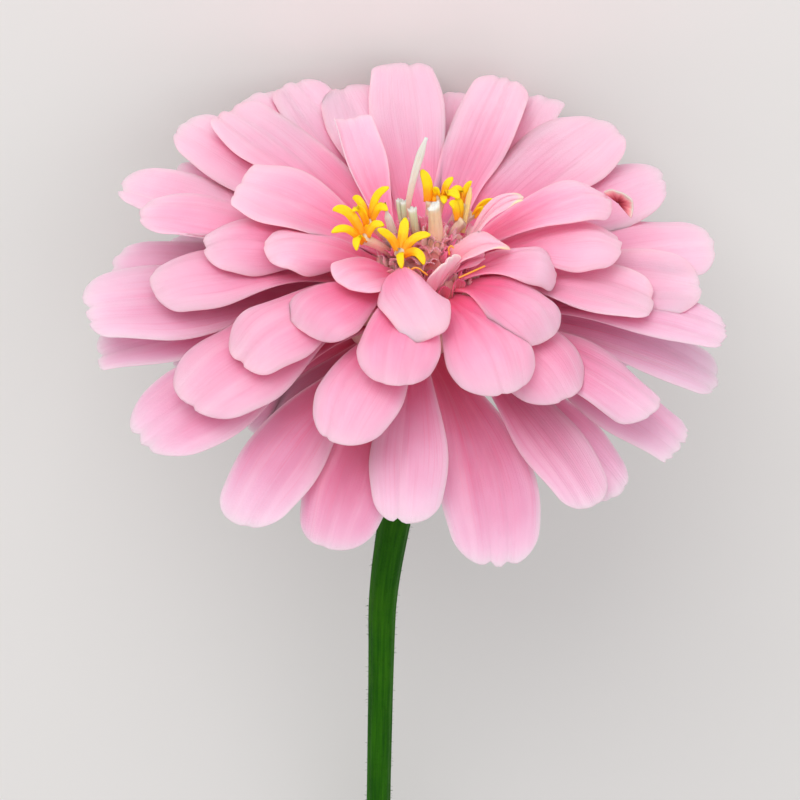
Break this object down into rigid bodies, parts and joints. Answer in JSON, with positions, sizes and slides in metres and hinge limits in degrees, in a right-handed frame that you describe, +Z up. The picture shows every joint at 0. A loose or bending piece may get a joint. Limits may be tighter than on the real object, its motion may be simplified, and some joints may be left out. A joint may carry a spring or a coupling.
{
  "type": "zinnia flower",
  "caption": "Double pink zinnia with a yellow disc, green bracts and a bare cut stem, lying on its side on a surface.",
  "frame": {"origin": "on the surface that the flower lies on, below the middle of its bounding box", "axes": "+Z up, +Y along the surface from the stem's cut end towards the head, +X to the right with the head away from the viewer"},
  "size_m": [0.0777, 0.1572, 0.064],
  "materials": {
    "petal": "satin",
    "floret": "matte",
    "bract": "satin",
    "stem": "satin"
  },
  "bodies": {
    "root": {"ray_florets": "petal", "disc_florets": "floret", "bracts": "bract", "stem": "stem"}
  },
  "joints": []
}
